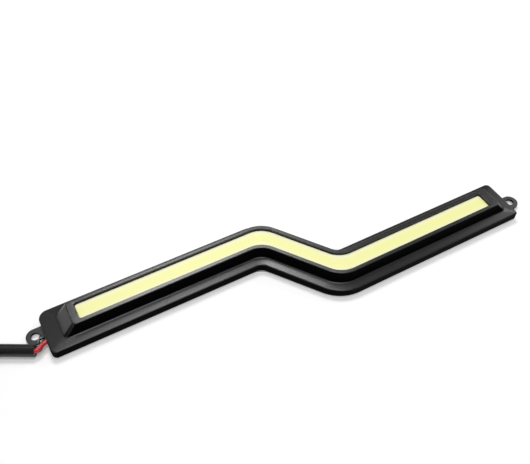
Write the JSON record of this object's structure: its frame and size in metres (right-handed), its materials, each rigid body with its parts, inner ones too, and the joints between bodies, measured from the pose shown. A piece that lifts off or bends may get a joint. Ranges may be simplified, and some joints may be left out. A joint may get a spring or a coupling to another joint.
{
  "type": "daytime running light",
  "caption": "Slim bent black bar lamp with a bare yellow lit strip along a raised ridge, screw ears at its ends, a taped back and a two-wire lead.",
  "frame": {"origin": "middle of the lamp's box on the surface that its back lies on, without the lead", "axes": "+X along both arms, away from the lead; +Z out of the lit face; +Y towards the arm that the lead leaves"},
  "size_m": [0.285, 0.06, 0.015],
  "materials": {
    "black_abs": "moulded ABS, semi-gloss",
    "white_board": "white solder mask on glass-fibre board",
    "led_die": "bare die",
    "yellow_phosphor": "poured silicone with phosphor, satin",
    "resistor_black": "chip resistor",
    "tin_solder": "tinned, dull bright",
    "black_potting": "cast silicone",
    "grey_foam": "closed-cell acrylic foam",
    "white_liner": "coated release paper, bare",
    "red_insulation": "extruded PVC",
    "black_insulation": "extruded PVC",
    "black_sleeve": "extruded soft PVC sleeve, satin",
    "black_tie": "nylon strap"
  },
  "bodies": {
    "root": {"housing": "black_abs", "circuit_board": "white_board", "led_chips": "led_die", "phosphor_strip": "yellow_phosphor", "current_resistors": "resistor_black", "solder_joints": "tin_solder", "potting_fill": "black_potting", "foam_tape": "grey_foam", "release_liner": "white_liner", "lead_core_red": "red_insulation", "lead_core_black": "black_insulation", "lead_sleeve": "black_sleeve", "lead_coil": "black_sleeve", "coil_tie": "black_tie", "lead_end_red": "red_insulation", "lead_end_black": "black_insulation", "tinned_ends": "tin_solder"}
  },
  "joints": []
}
